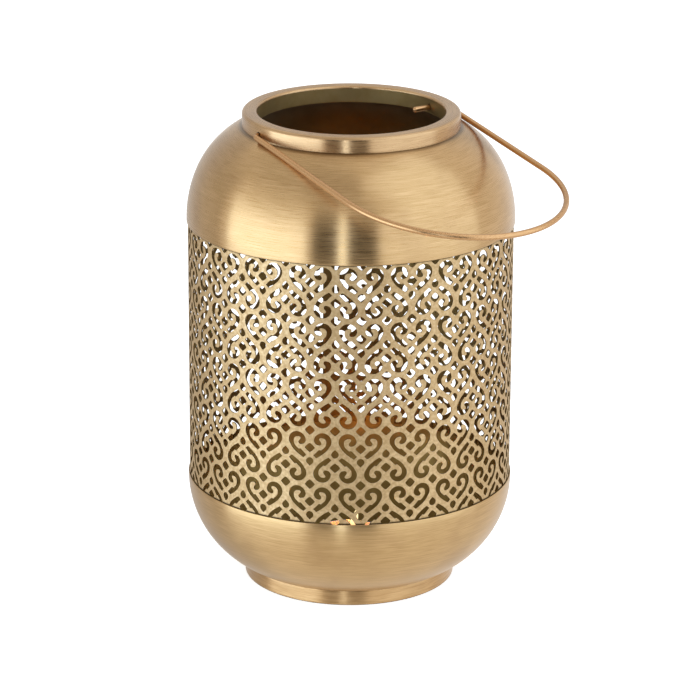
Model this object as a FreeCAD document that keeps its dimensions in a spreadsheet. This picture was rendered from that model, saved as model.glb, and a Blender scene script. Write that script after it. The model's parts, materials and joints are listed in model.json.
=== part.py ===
import FreeCAD, Part
import math
import os

import Sketcher
from FreeCAD import Placement, Rotation, Vector

# A hanging lantern of thin brass sheet: a spun dome and a spun bowl are closed up by a rolled, pierced
# screen, with a collar ring at the mouth, a foot ring, a wire bail and a tealight in a dish.
# Millimetres, +Z up. The origin is the centre of the foot ring's lower edge, and the bail's pivot
# axis is parallel to X. The bail hangs to -Y at rest.

SIZES = {
    # overall
    "screen_radius": 84.9,  # outside of the rolled screen
    "screen_window": 138.5,  # screen that shows between the bowl and the dome
    "floor_clearance": 2.8,  # underside of the bowl above what the lantern stands on
    # sheet and fits
    "spun_wall": 0.6,
    "screen_wall": 0.6,
    "collar_wall": 0.8,
    "foot_wall": 0.8,
    "fit_gap": 0.1,  # screen to bowl and screen to dome
    "solder_gap": 0.05,  # between soldered edges
    "bowl_lap": 4.0,  # length of the screen inside the bowl
    "dome_lap": 4.0,  # length of the screen inside the dome
    # bowl: a short upright land, then one arc down to the flat floor
    "bowl_land": 1.3,
    "bowl_arc": 52.4,
    # dome: a short upright land, a shoulder arc, then a tighter crown arc up to the mouth
    "dome_land": 0.8,
    "shoulder_arc": 62.2,
    "shoulder_rise": 24.8,  # height of the shoulder arc
    "crown_arc": 48.06,
    "mouth_lap": 2.1,  # width of the dome's edge inside the collar's outer skirt
    # foot ring
    "foot_radius": 55.7,
    # collar: an inverted channel, its outer skirt on the dome and its inner skirt free
    "collar_outer_radius": 56.6,
    "collar_width": 7.85,
    "collar_height": 7.9,  # outer skirt's seat to the flat top
    "collar_inner_corner": 1.2,
    "collar_outer_corner": 1.8,
    "inner_skirt_depth": 8.4,
    # bail and its pivot holes
    "wire_radius": 1.5,
    "pivot_hole_radius": 1.9,
    "pivot_web": 0.37,  # metal left under a hole
    "running_gap": 0.3,  # wire to the low side of its hole, and to the dome it rests over
    "bail_side_gap": 1.1,  # wire to the outer skirt
    "bail_corner": 2.5,
    "bail_arm": 86.7,  # pivot axis to the end of the straight arm
    "bail_bow": 62.3,  # height of the bow beyond the straight arms
    "hook_length": 10.05,  # end of a hook inside the collar's inner skirt
    # candle dish
    "dish_gap": 1.5,  # tealight to the inside of the dish's wall
    "dish_height": 5.0,
    "dish_wall": 0.5,
    # tealight
    "tealight_radius": 19.0,
    "tealight_height": 15.5,
    "cup_wall": 0.3,
    "cast_gap": 0.05,  # wax to what it was cast round
    "wax_depth": 12.5,
    "wick_radius": 0.8,
    "wick_length": 18.5,
    "sustainer_radius": 7.0,
    "sustainer_wall": 0.3,
    "neck_radius": 1.5,
    "neck_height": 3.0,
}

SIDE_TURN = 45  # degrees that each side arc of the bail turns
ARM_STEPS = 400  # places along an arm where its gap to the dome is measured
DROOP_STEP = 0.001  # degrees to which the resting droop is found


def size(name):
    """The expression that reads one cell of the sheet."""
    return f"Sizes.{name}"


# Lengths that follow from the sizes, written once as expressions.
RIM_RADIUS = f"({size('screen_radius')} + {size('fit_gap')} + {size('spun_wall')})"
BOWL_CENTRE_HEIGHT = f"({size('floor_clearance')} + {size('bowl_arc')})"
BOWL_RIM_HEIGHT = f"({BOWL_CENTRE_HEIGHT} + {size('bowl_land')})"
DOME_RIM_HEIGHT = f"({BOWL_RIM_HEIGHT} + {size('screen_window')})"
BOWL_CENTRE_RADIUS = f"({RIM_RADIUS} - {size('bowl_arc')})"
FLOOR_HEIGHT = f"({size('floor_clearance')} + {size('spun_wall')})"
SHOULDER_SINE = f"({size('shoulder_rise')} / {size('shoulder_arc')})"
ARC_STEP = f"({size('shoulder_arc')} - {size('crown_arc')})"
CROWN_CENTRE_RADIUS = (
    f"({RIM_RADIUS} - {size('shoulder_arc')} + {ARC_STEP} * sqrt(1 - {SHOULDER_SINE}^2))"
)
SHOULDER_HEIGHT = f"({DOME_RIM_HEIGHT} + {size('dome_land')})"
CROWN_CENTRE_HEIGHT = f"({SHOULDER_HEIGHT} + {ARC_STEP} * {SHOULDER_SINE})"
CUP_SEAT = f"({FLOOR_HEIGHT} + {size('dish_wall')} + {size('solder_gap')})"
CUP_FLOOR = f"({CUP_SEAT} + {size('cup_wall')})"


def under_bowl(radius):
    """Height of the bowl's underside at a radius on its arc."""
    return f"({BOWL_CENTRE_HEIGHT} - sqrt({size('bowl_arc')}^2 - ({radius} - {BOWL_CENTRE_RADIUS})^2))"


def over_dome(radius):
    """Height of the dome's outside at a radius on its crown arc."""
    return f"({CROWN_CENTRE_HEIGHT} + sqrt({size('crown_arc')}^2 - ({radius} - {CROWN_CENTRE_RADIUS})^2))"


# The collar sits on the crown, and the pivot holes and the bail follow the collar.
OUTER_SKIRT = size("collar_outer_radius")
COLLAR_SEAT = f"({over_dome(OUTER_SKIRT)} + {size('solder_gap')})"
COLLAR_TOP = f"({COLLAR_SEAT} + {size('collar_height')})"
COLLAR_BORE = f"({OUTER_SKIRT} - {size('collar_width')})"
MOUTH_RADIUS = f"({OUTER_SKIRT} - {size('mouth_lap')})"
PIVOT_HOLE_HEIGHT = f"({COLLAR_SEAT} + {size('pivot_web')} + {size('pivot_hole_radius')})"
PIVOT_HEIGHT = (
    f"({PIVOT_HOLE_HEIGHT} - {size('pivot_hole_radius')}"
    f" + {size('wire_radius')} + {size('running_gap')})"
)
BAIL_HALF_WIDTH = f"({OUTER_SKIRT} + {size('bail_side_gap')} + {size('wire_radius')})"
HOOK_REACH = f"({COLLAR_BORE} - {size('hook_length')})"

# The bail's bow is near a half ellipse: two side arcs of 45 degrees and an apex arc between them.
BOW_STEP = f"(({size('bail_bow')} - {BAIL_HALF_WIDTH}) / (sqrt(2) - 1))"
SIDE_ARC = f"(({BAIL_HALF_WIDTH} + {size('bail_bow')} + {BOW_STEP}) / 2)"
APEX_ARC = f"(({BAIL_HALF_WIDTH} + {size('bail_bow')} - {BOW_STEP}) / 2)"

DISH_BORE = f"({size('tealight_radius')} + {size('dish_gap')})"


doc = FreeCAD.newDocument("HangingLantern")
sheet = doc.addObject("Spreadsheet::Sheet", "Sizes")
for row, (alias, value) in enumerate(SIZES.items(), start=1):
    sheet.set(f"A{row}", alias.replace("_", " "))
    sheet.set(f"B{row}", str(value))
    sheet.setAlias(f"B{row}", alias)
doc.recompute()


def number(expression):
    """The value of an expression now, for drawing geometry close to where its constraints put it."""
    found = sheet.evalExpression(expression.replace("Sizes.", ""))
    return float(getattr(found, "Value", found))


def new_body(name):
    body = doc.addObject("PartDesign::Body", name)
    body.Label = name
    return body


def new_sketch(body, role, name):
    """An empty sketch on one of the body's own origin planes."""
    sketch = body.newObject("Sketcher::SketchObject", name)
    plane = [feature for feature in body.Origin.OriginFeatures if feature.Role == role][0]
    sketch.AttachmentSupport = [(plane, "")]
    sketch.MapMode = "FlatFace"
    return sketch


def line(sketch, start, end):
    return sketch.addGeometry(Part.LineSegment(Vector(*start, 0), Vector(*end, 0)), False)


def arc(sketch, centre, radius, start_angle, end_angle):
    """A counter-clockwise arc, its angles in degrees."""
    circle = Part.Circle(Vector(*centre, 0), Vector(0, 0, 1), radius)
    limits = math.radians(start_angle), math.radians(end_angle)
    return sketch.addGeometry(Part.ArcOfCircle(circle, *limits), False)


def tie(sketch, kind, *where):
    sketch.addConstraint(Sketcher.Constraint(kind, *where))


def dimension(sketch, kind, name, expression, *where):
    """A named constraint that takes its value from an expression."""
    index = sketch.addConstraint(Sketcher.Constraint(kind, *where, number(expression)))
    sketch.renameConstraint(index, name)
    sketch.setExpression(f"Constraints.{name}", expression)


START, END, CENTRE = 1, 2, 3
ORIGIN = (-1, START)
UPRIGHT_AXIS = -2


def place_point(sketch, name, at, radius=None, height=None):
    """Give a sketch point its distance from the lantern's axis and its height."""
    if radius:
        dimension(sketch, "DistanceX", f"{name}_radius", radius, *ORIGIN, *at)
    if height:
        dimension(sketch, "DistanceY", f"{name}_height", height, *ORIGIN, *at)


def revolve(body, sketch, name):
    turned = body.newObject("PartDesign::Revolution", name)
    turned.Profile = sketch
    turned.ReferenceAxis = (sketch, ["V_Axis"])
    turned.Angle = 360
    sketch.Visibility = False
    return turned


def drill_pivots(body):
    """The two holes of the bail's hooks, drilled straight through along X."""
    sketch = new_sketch(body, "YZ_Plane", f"{body.Name}_pivot_circle")
    circle = Part.Circle(
        Vector(0, number(PIVOT_HOLE_HEIGHT), 0), Vector(0, 0, 1), SIZES["pivot_hole_radius"]
    )
    hole = sketch.addGeometry(circle, False)
    tie(sketch, "PointOnObject", hole, CENTRE, UPRIGHT_AXIS)
    dimension(sketch, "DistanceY", "hole_height", PIVOT_HOLE_HEIGHT, *ORIGIN, hole, CENTRE)
    dimension(sketch, "Radius", "hole_radius", size("pivot_hole_radius"), hole)
    doc.recompute()
    pocket = body.newObject("PartDesign::Pocket", f"{body.Name}_pivot_holes")
    pocket.Profile = sketch
    pocket.SideType = "Symmetric"
    pocket.Type = "ThroughAll"
    sketch.Visibility = False


def make_dome():
    """Spun dome: rim land, shoulder arc and crown arc, one wall thick, open at the mouth."""
    body = new_body("dome_shell")
    sketch = new_sketch(body, "XZ_Plane", "dome_profile")
    wall = SIZES["spun_wall"]
    rim, rim_height = number(RIM_RADIUS), number(DOME_RIM_HEIGHT)
    land_top = rim_height + SIZES["dome_land"]
    shoulder = (rim - SIZES["shoulder_arc"], land_top)
    crown = (number(CROWN_CENTRE_RADIUS), number(CROWN_CENTRE_HEIGHT))
    turn = math.degrees(math.asin(number(SHOULDER_SINE)))
    mouth_radius = number(MOUTH_RADIUS)
    mouth = math.degrees(math.acos((mouth_radius - crown[0]) / SIZES["crown_arc"]))
    mouth_out = (mouth_radius, number(over_dome(MOUTH_RADIUS)))
    mouth_in = (mouth_radius - wall * math.cos(math.radians(mouth)), mouth_out[1] - wall)

    rim_edge = line(sketch, (rim - wall, rim_height), (rim, rim_height))
    land_out = line(sketch, (rim, rim_height), (rim, land_top))
    shoulder_out = arc(sketch, shoulder, SIZES["shoulder_arc"], 0, turn)
    crown_out = arc(sketch, crown, SIZES["crown_arc"], turn, mouth)
    mouth_edge = line(sketch, mouth_out, mouth_in)
    crown_in = arc(sketch, crown, SIZES["crown_arc"] - wall, turn, mouth)
    shoulder_in = arc(sketch, shoulder, SIZES["shoulder_arc"] - wall, 0, turn)
    land_in = line(sketch, (rim - wall, rim_height), (rim - wall, land_top))

    tie(sketch, "Horizontal", rim_edge)
    tie(sketch, "Vertical", land_out)
    tie(sketch, "Vertical", land_in)
    tie(sketch, "Coincident", rim_edge, END, land_out, START)
    tie(sketch, "Coincident", rim_edge, START, land_in, START)
    tie(sketch, "Tangent", land_out, END, shoulder_out, START)
    tie(sketch, "Tangent", land_in, END, shoulder_in, START)
    tie(sketch, "Coincident", shoulder_out, CENTRE, shoulder_in, CENTRE)
    tie(sketch, "Tangent", shoulder_out, END, crown_out, START)
    tie(sketch, "Coincident", crown_out, CENTRE, crown_in, CENTRE)
    tie(sketch, "Tangent", shoulder_in, END, crown_in, START)
    tie(sketch, "Coincident", crown_out, END, mouth_edge, START)
    tie(sketch, "Coincident", crown_in, END, mouth_edge, END)
    tie(sketch, "PointOnObject", crown_out, CENTRE, mouth_edge)

    place_point(sketch, "rim", (land_out, START), RIM_RADIUS, DOME_RIM_HEIGHT)
    dimension(sketch, "DistanceX", "wall", size("spun_wall"), rim_edge, START, rim_edge, END)
    dimension(sketch, "DistanceY", "land", size("dome_land"), land_out, START, land_out, END)
    dimension(sketch, "Radius", "shoulder_arc", size("shoulder_arc"), shoulder_out)
    dimension(sketch, "Radius", "crown_arc", size("crown_arc"), crown_out)
    rise = (shoulder_out, START, shoulder_out, END)
    dimension(sketch, "DistanceY", "shoulder_rise", size("shoulder_rise"), *rise)
    place_point(sketch, "mouth", (crown_out, END), MOUTH_RADIUS)
    revolve(body, sketch, "dome_spinning")
    drill_pivots(body)
    return body


def make_bowl():
    """Spun bowl: rim land and one arc that runs out into the flat floor, one wall thick."""
    body = new_body("lower_bowl")
    sketch = new_sketch(body, "XZ_Plane", "bowl_profile")
    wall = SIZES["spun_wall"]
    rim, rim_height = number(RIM_RADIUS), number(BOWL_RIM_HEIGHT)
    centre = (number(BOWL_CENTRE_RADIUS), number(BOWL_CENTRE_HEIGHT))
    floor_in = number(FLOOR_HEIGHT)
    floor_out = floor_in - wall

    rim_edge = line(sketch, (rim - wall, rim_height), (rim, rim_height))
    land_out = line(sketch, (rim, rim_height), (rim, centre[1]))
    side_out = arc(sketch, centre, SIZES["bowl_arc"], 270, 360)
    underside = line(sketch, (centre[0], floor_out), (0, floor_out))
    middle = line(sketch, (0, floor_out), (0, floor_in))
    floor = line(sketch, (0, floor_in), (centre[0], floor_in))
    side_in = arc(sketch, centre, SIZES["bowl_arc"] - wall, 270, 360)
    land_in = line(sketch, (rim - wall, centre[1]), (rim - wall, rim_height))

    tie(sketch, "Horizontal", rim_edge)
    tie(sketch, "Vertical", land_out)
    tie(sketch, "Vertical", land_in)
    tie(sketch, "Horizontal", underside)
    tie(sketch, "Horizontal", floor)
    tie(sketch, "Coincident", rim_edge, END, land_out, START)
    tie(sketch, "Tangent", land_out, END, side_out, END)
    tie(sketch, "Tangent", side_out, START, underside, START)
    tie(sketch, "Coincident", underside, END, middle, START)
    tie(sketch, "Coincident", middle, END, floor, START)
    tie(sketch, "Tangent", floor, END, side_in, START)
    tie(sketch, "Coincident", side_out, CENTRE, side_in, CENTRE)
    tie(sketch, "Tangent", side_in, END, land_in, START)
    tie(sketch, "Coincident", land_in, END, rim_edge, START)
    tie(sketch, "PointOnObject", middle, START, UPRIGHT_AXIS)
    tie(sketch, "PointOnObject", middle, END, UPRIGHT_AXIS)

    place_point(sketch, "rim", (land_out, START), RIM_RADIUS, BOWL_RIM_HEIGHT)
    dimension(sketch, "DistanceX", "wall", size("spun_wall"), rim_edge, START, rim_edge, END)
    dimension(sketch, "DistanceY", "land", size("bowl_land"), land_out, END, land_out, START)
    dimension(sketch, "Radius", "bowl_arc", size("bowl_arc"), side_out)
    revolve(body, sketch, "bowl_spinning")
    return body


def make_collar():
    """Collar ring: an inverted channel whose outer skirt is cut to sit on the crown of the dome."""
    body = new_body("collar_ring")
    sketch = new_sketch(body, "XZ_Plane", "collar_profile")
    wall, top = SIZES["collar_wall"], number(COLLAR_TOP)
    inside, outside = number(COLLAR_BORE), SIZES["collar_outer_radius"]
    small, large = SIZES["collar_inner_corner"], SIZES["collar_outer_corner"]
    hem = top - SIZES["inner_skirt_depth"]
    outer_hem = number(COLLAR_SEAT)
    inner_hem_height = f"({over_dome(f'({OUTER_SKIRT} - {size('collar_wall')})')} + {size('solder_gap')})"
    inner_hem = number(inner_hem_height)
    small_centre, large_centre = (inside + small, top - small), (outside - large, top - large)

    hem_edge = line(sketch, (inside + wall, hem), (inside, hem))
    inner_face = line(sketch, (inside, hem), (inside, small_centre[1]))
    inner_bend = arc(sketch, small_centre, small, 90, 180)
    top_face = line(sketch, (small_centre[0], top), (large_centre[0], top))
    outer_bend = arc(sketch, large_centre, large, 0, 90)
    outer_face = line(sketch, (outside, large_centre[1]), (outside, outer_hem))
    seat = line(sketch, (outside, outer_hem), (outside - wall, inner_hem))
    outer_back = line(sketch, (outside - wall, inner_hem), (outside - wall, large_centre[1]))
    outer_bend_in = arc(sketch, large_centre, large - wall, 0, 90)
    ceiling = line(sketch, (large_centre[0], top - wall), (small_centre[0], top - wall))
    inner_bend_in = arc(sketch, small_centre, small - wall, 90, 180)
    inner_back = line(sketch, (inside + wall, small_centre[1]), (inside + wall, hem))

    for level in (hem_edge, top_face, ceiling):
        tie(sketch, "Horizontal", level)
    for upright in (inner_face, outer_face, outer_back, inner_back):
        tie(sketch, "Vertical", upright)
    tie(sketch, "Coincident", hem_edge, END, inner_face, START)
    tie(sketch, "Tangent", inner_face, END, inner_bend, END)
    tie(sketch, "Tangent", inner_bend, START, top_face, START)
    tie(sketch, "Tangent", top_face, END, outer_bend, END)
    tie(sketch, "Tangent", outer_bend, START, outer_face, START)
    tie(sketch, "Coincident", outer_face, END, seat, START)
    tie(sketch, "Coincident", seat, END, outer_back, START)
    tie(sketch, "Tangent", outer_back, END, outer_bend_in, START)
    tie(sketch, "Tangent", outer_bend_in, END, ceiling, START)
    tie(sketch, "Tangent", ceiling, END, inner_bend_in, START)
    tie(sketch, "Tangent", inner_bend_in, END, inner_back, START)
    tie(sketch, "Coincident", inner_back, END, hem_edge, START)
    tie(sketch, "Coincident", outer_bend, CENTRE, outer_bend_in, CENTRE)
    tie(sketch, "Coincident", inner_bend, CENTRE, inner_bend_in, CENTRE)

    place_point(sketch, "inner", (inner_face, START), COLLAR_BORE)
    place_point(sketch, "outer", (outer_face, END), OUTER_SKIRT, COLLAR_SEAT)
    place_point(sketch, "seat", (seat, END), None, inner_hem_height)
    place_point(sketch, "top", (top_face, START), None, COLLAR_TOP)
    depth = size("inner_skirt_depth")
    dimension(sketch, "DistanceY", "skirt_depth", depth, inner_face, START, top_face, START)
    dimension(sketch, "Radius", "inner_corner", size("collar_inner_corner"), inner_bend)
    dimension(sketch, "Radius", "outer_corner", size("collar_outer_corner"), outer_bend)
    dimension(sketch, "DistanceX", "wall", size("collar_wall"), seat, END, seat, START)
    revolve(body, sketch, "collar_spinning")
    drill_pivots(body)
    return body


def make_foot():
    """Foot ring: a rolled strip whose upper edge follows the underside of the bowl."""
    body = new_body("foot_ring")
    sketch = new_sketch(body, "XZ_Plane", "foot_profile")
    outer = size("foot_radius")
    inner = f"({outer} - {size('foot_wall')})"
    outer_top = f"({under_bowl(outer)} - {size('solder_gap')})"
    inner_top = f"({under_bowl(inner)} - {size('solder_gap')})"
    corners = [
        (number(inner), 0),
        (number(outer), 0),
        (number(outer), number(outer_top)),
        (number(inner), number(inner_top)),
    ]
    edges = [line(sketch, corners[i - 1], corners[i]) for i in range(len(corners))]
    for i, edge in enumerate(edges):
        tie(sketch, "Coincident", edges[i - 1], END, edge, START)
    inner_face, lower_edge, outer_face, _ = edges
    tie(sketch, "Vertical", inner_face)
    tie(sketch, "Horizontal", lower_edge)
    tie(sketch, "Vertical", outer_face)
    tie(sketch, "PointOnObject", lower_edge, START, -1)
    place_point(sketch, "inner", (inner_face, START), inner, inner_top)
    place_point(sketch, "outer", (outer_face, END), outer, outer_top)
    revolve(body, sketch, "foot_rolling")
    return body


def arm_clearance(droop):
    """Least gap between the dome and a straight arm of the bail that dips by so many degrees."""
    arcs = (
        (number(CROWN_CENTRE_RADIUS), number(CROWN_CENTRE_HEIGHT), SIZES["crown_arc"]),
        (number(RIM_RADIUS) - SIZES["shoulder_arc"], number(SHOULDER_HEIGHT), SIZES["shoulder_arc"]),
    )
    width, pivot = number(BAIL_HALF_WIDTH), number(PIVOT_HEIGHT)
    shoulder_top = number(SHOULDER_HEIGHT) + SIZES["shoulder_rise"]
    gaps = []
    for step in range(ARM_STEPS):
        along = SIZES["bail_corner"] + (SIZES["bail_arm"] - SIZES["bail_corner"]) * step / ARM_STEPS
        radius = math.hypot(width, along * math.cos(math.radians(droop)))
        height = pivot - along * math.sin(math.radians(droop))
        centre_radius, centre_height, arc_radius = arcs[0] if height > shoulder_top else arcs[1]
        gaps.append(math.hypot(radius - centre_radius, height - centre_height) - arc_radius)
    return min(gaps) - SIZES["wire_radius"]


def resting_droop():
    """Degrees below level where the bail stops, one running gap short of the dome."""
    level, steep = 0.0, 60.0
    while steep - level > DROOP_STEP:
        middle = (level + steep) / 2
        if arm_clearance(middle) < SIZES["running_gap"]:
            steep = middle
        else:
            level = middle
    return level


def make_bail():
    """Wire bail: drawn flat with its pivot axis on X, then tipped down about that axis."""
    body = new_body("bail_handle")
    path = new_sketch(body, "XY_Plane", "bail_path")
    width, corner, arm = number(BAIL_HALF_WIDTH), SIZES["bail_corner"], -SIZES["bail_arm"]
    tip = number(HOOK_REACH)
    side, apex = number(SIDE_ARC), number(APEX_ARC)
    turn = math.radians(SIDE_TURN)
    apex_centre = (0, arm - (side - apex) * math.sin(turn))

    hook_left = line(path, (-tip, 0), (corner - width, 0))
    bend_left = arc(path, (corner - width, -corner), corner, 90, 180)
    arm_left = line(path, (-width, -corner), (-width, arm))
    side_left = arc(path, (side - width, arm), side, 180, 180 + SIDE_TURN)
    over = arc(path, apex_centre, apex, 180 + SIDE_TURN, 360 - SIDE_TURN)
    side_right = arc(path, (width - side, arm), side, 360 - SIDE_TURN, 360)
    arm_right = line(path, (width, arm), (width, -corner))
    bend_right = arc(path, (width - corner, -corner), corner, 0, 90)
    hook_right = line(path, (width - corner, 0), (tip, 0))

    tie(path, "PointOnObject", hook_left, START, -1)
    tie(path, "PointOnObject", hook_right, END, -1)
    tie(path, "Horizontal", hook_left)
    tie(path, "Horizontal", hook_right)
    tie(path, "Vertical", arm_left)
    tie(path, "Vertical", arm_right)
    tie(path, "Tangent", hook_left, END, bend_left, START)
    tie(path, "Tangent", bend_left, END, arm_left, START)
    tie(path, "Tangent", arm_left, END, side_left, START)
    tie(path, "Tangent", side_left, END, over, START)
    tie(path, "Tangent", over, END, side_right, START)
    tie(path, "Tangent", side_right, END, arm_right, START)
    tie(path, "Tangent", arm_right, END, bend_right, START)
    tie(path, "Tangent", bend_right, END, hook_right, START)
    tie(path, "PointOnObject", over, CENTRE, UPRIGHT_AXIS)
    tie(path, "Equal", side_left, side_right)
    tie(path, "Equal", bend_left, bend_right)
    dimension(path, "DistanceX", "left_tip", HOOK_REACH, hook_left, START, *ORIGIN)
    dimension(path, "DistanceX", "right_tip", HOOK_REACH, *ORIGIN, hook_right, END)
    dimension(path, "DistanceX", "half_width", BAIL_HALF_WIDTH, arm_left, END, *ORIGIN)
    dimension(path, "DistanceY", "arm", size("bail_arm"), arm_left, END, *ORIGIN)
    dimension(path, "Radius", "corner", size("bail_corner"), bend_left)
    dimension(path, "Radius", "side_arc", SIDE_ARC, side_left)
    dimension(path, "Radius", "apex_arc", APEX_ARC, over)

    section = new_sketch(body, "YZ_Plane", "bail_section")
    section.AttachmentOffset = Placement(Vector(0, 0, -tip), Rotation())
    section.setExpression("AttachmentOffset.Base.z", f"-{HOOK_REACH}")
    wire = section.addGeometry(Part.Circle(Vector(0, 0, 0), Vector(0, 0, 1), SIZES["wire_radius"]), False)
    tie(section, "Coincident", wire, CENTRE, *ORIGIN)
    dimension(section, "Radius", "wire", size("wire_radius"), wire)
    doc.recompute()

    pipe = body.newObject("PartDesign::AdditivePipe", "bail_wire")
    pipe.Profile = section
    pipe.Spine = path
    section.Visibility = False
    path.Visibility = False
    body.Placement = Placement(Vector(0, 0, 0), Rotation(Vector(1, 0, 0), resting_droop()))
    body.setExpression("Placement.Base.z", PIVOT_HEIGHT)
    return body


def cylinder(name, radius, height, base):
    """An upright cylinder on the lantern's axis, from a base height."""
    solid = doc.addObject("Part::Cylinder", name)
    solid.setExpression("Radius", radius)
    solid.setExpression("Height", height)
    solid.setExpression("Placement.Base.z", base)
    return solid


def cut(name, body, tool):
    result = doc.addObject("Part::Cut", name)
    result.Label = name
    result.Base = body
    result.Tool = tool
    return result


def fuse(name, *pieces):
    result = doc.addObject("Part::MultiFuse", name)
    result.Label = name
    result.Shapes = list(pieces)
    return result


def make_screen():
    """Pierced screen: its rolled tube, from inside the bowl's rim to inside the dome's rim."""
    base = f"({BOWL_RIM_HEIGHT} - {size('bowl_lap')})"
    height = f"({DOME_RIM_HEIGHT} + {size('dome_lap')} - {base})"
    bore = f"({size('screen_radius')} - {size('screen_wall')})"
    tube = cylinder("screen_outside", size("screen_radius"), height, base)
    hollow = cylinder("screen_inside", bore, height, base)
    return cut("pierced_screen", tube, hollow)


def make_dish():
    """Candle dish: a low pan on the middle of the bowl's floor."""
    dish_radius = f"({DISH_BORE} + {size('dish_wall')})"
    pan = cylinder("dish_outside", dish_radius, size("dish_height"), FLOOR_HEIGHT)
    hollow_base = f"({FLOOR_HEIGHT} + {size('dish_wall')})"
    hollow = cylinder("dish_inside", DISH_BORE, size("dish_height"), hollow_base)
    return cut("candle_dish", pan, hollow)


def make_tealight():
    """Tealight: pressed cup, wick plate with a neck, wick, and the wax cast round them."""
    cup_bore = f"({size('tealight_radius')} - {size('cup_wall')})"
    cup_outside = cylinder("cup_outside", size("tealight_radius"), size("tealight_height"), CUP_SEAT)
    cup_inside = cylinder("cup_inside", cup_bore, size("tealight_height"), CUP_FLOOR)
    cup = cut("tealight_cup", cup_outside, cup_inside)

    wick = cylinder("wick", size("wick_radius"), size("wick_length"), CUP_FLOOR)
    wick.Label = "wick"

    neck_top = f"({size('sustainer_wall')} + {size('neck_height')})"
    wick_bore = f"({size('wick_radius')} + {size('cast_gap')})"
    plate = cylinder("plate", size("sustainer_radius"), size("sustainer_wall"), CUP_FLOOR)
    neck = cylinder("plate_neck", size("neck_radius"), neck_top, CUP_FLOOR)
    bore = cylinder("plate_bore", wick_bore, neck_top, CUP_FLOOR)
    sustainer = cut("wick_sustainer", fuse("plate_and_neck", plate, neck), bore)

    gap = size("cast_gap")
    wax_body = cylinder("wax_body", f"({cup_bore} - {gap})", size("wax_depth"), CUP_FLOOR)
    plate_radius = f"({size('sustainer_radius')} + {gap})"
    plate_space = cylinder("plate_space", plate_radius, f"({size('sustainer_wall')} + {gap})", CUP_FLOOR)
    neck_radius = f"({size('neck_radius')} + {gap})"
    neck_space = cylinder("neck_space", neck_radius, f"({neck_top} + {gap})", CUP_FLOOR)
    wick_space = cylinder("wick_space", wick_bore, size("wick_length"), CUP_FLOOR)
    spaces = fuse("wax_spaces", plate_space, neck_space, wick_space)
    wax = cut("tealight_wax", wax_body, spaces)
    return [cup, wick, sustainer, wax]


def check(nodes):
    """Stop if any object failed, or if a sub-part isn't a whole, valid shape."""
    for item in doc.Objects:
        if "Invalid" in item.State or "Error" in item.State:
            raise RuntimeError(f"{item.Name} failed: {item.State}")
    for node in nodes:
        if node.Shape.isNull() or not node.Shape.isValid() or not node.Shape.Solids:
            raise RuntimeError(f"{node.Label} has no valid solid")


nodes = [make_dome(), make_bowl(), make_collar(), make_foot(), make_bail(), make_screen(), make_dish()]
nodes += make_tealight()
doc.recompute()
check(nodes)
print(f"bail pivot at {number(PIVOT_HEIGHT):.3f} mm, resting droop {resting_droop():.3f} degrees")
os.makedirs("parts", exist_ok=True)
for node in nodes:
    node.Shape.exportStep(os.path.join("parts", f"{node.Label}.step"))
    print(f"{node.Label}: {len(node.Shape.Solids)} solid, {node.Shape.Volume:.1f} mm3")
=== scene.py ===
"""Hanging lantern of spun and pierced antique brass, with a wire bail and a lit tealight.

Metres in the row frame: +Z up, origin at the centre of the foot's lower edge, bail pivot axis on X.
Shapes are worked out in millimetres and written to their meshes in metres.
"""

import json
import math

import bmesh
import bpy
import numpy as np
from mathutils import Matrix, Vector
from mathutils.geometry import delaunay_2d_cdt

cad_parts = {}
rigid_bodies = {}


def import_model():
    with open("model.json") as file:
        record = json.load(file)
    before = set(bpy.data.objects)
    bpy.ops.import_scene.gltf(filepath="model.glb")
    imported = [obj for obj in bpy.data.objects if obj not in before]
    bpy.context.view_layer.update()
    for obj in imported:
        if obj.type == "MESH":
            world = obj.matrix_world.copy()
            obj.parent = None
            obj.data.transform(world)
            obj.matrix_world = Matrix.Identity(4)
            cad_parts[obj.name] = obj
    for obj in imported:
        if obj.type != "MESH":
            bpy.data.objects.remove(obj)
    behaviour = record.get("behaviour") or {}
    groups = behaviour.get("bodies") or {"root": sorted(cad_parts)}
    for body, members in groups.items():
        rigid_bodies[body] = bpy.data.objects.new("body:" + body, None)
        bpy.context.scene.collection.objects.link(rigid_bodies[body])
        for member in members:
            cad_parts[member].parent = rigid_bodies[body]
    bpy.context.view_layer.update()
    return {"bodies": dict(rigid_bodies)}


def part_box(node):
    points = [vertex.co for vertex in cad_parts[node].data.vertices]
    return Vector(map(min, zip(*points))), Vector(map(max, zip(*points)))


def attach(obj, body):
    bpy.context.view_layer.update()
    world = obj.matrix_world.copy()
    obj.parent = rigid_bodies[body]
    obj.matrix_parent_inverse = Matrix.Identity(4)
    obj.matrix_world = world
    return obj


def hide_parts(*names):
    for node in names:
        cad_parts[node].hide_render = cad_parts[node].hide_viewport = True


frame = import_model()

MM = 0.001
AROUND = 192  # points round a turned shell


def extent(node):
    """Lowest and highest corner of a CAD node, in millimetres."""
    low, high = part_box(node)
    return np.array(low) / MM, np.array(high) / MM


# ---------------------------------------------------------------- sizes, mm

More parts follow.
